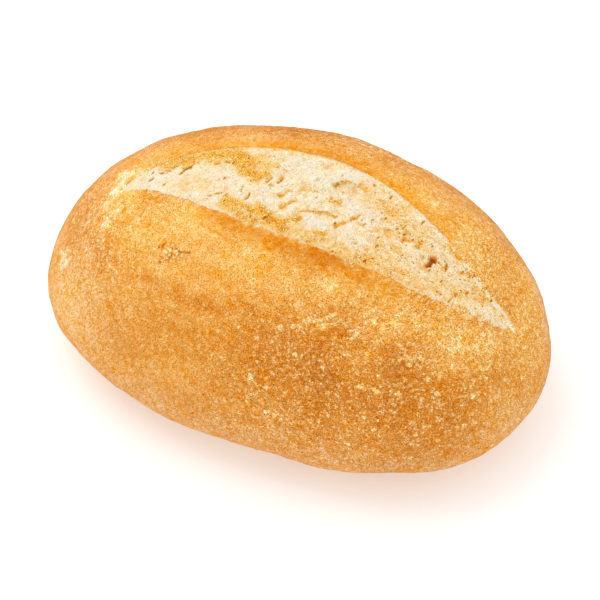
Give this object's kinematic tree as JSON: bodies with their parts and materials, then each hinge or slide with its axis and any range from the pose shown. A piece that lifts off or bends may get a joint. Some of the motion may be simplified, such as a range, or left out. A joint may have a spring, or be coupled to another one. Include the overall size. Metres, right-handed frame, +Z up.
{
  "type": "bread roll",
  "caption": "Oval wheat bread roll with a flat base, a domed crust and a long open slash along its crown that shows a torn crumb bed behind a raised lip.",
  "frame": {"origin": "under the middle of the roll's box, on the surface that the roll stands on", "axes": "+X along the roll's length and its slash, +Z up from the flat base through the crown"},
  "size_m": [0.1078, 0.0726, 0.0509],
  "materials": {
    "crust": "golden-brown baked crust, half matt, finely blistered",
    "crumb": "matt cream crumb, torn and finely porous, toasted in patches"
  },
  "bodies": {
    "root": {"bread_roll": "crust"}
  },
  "joints": []
}
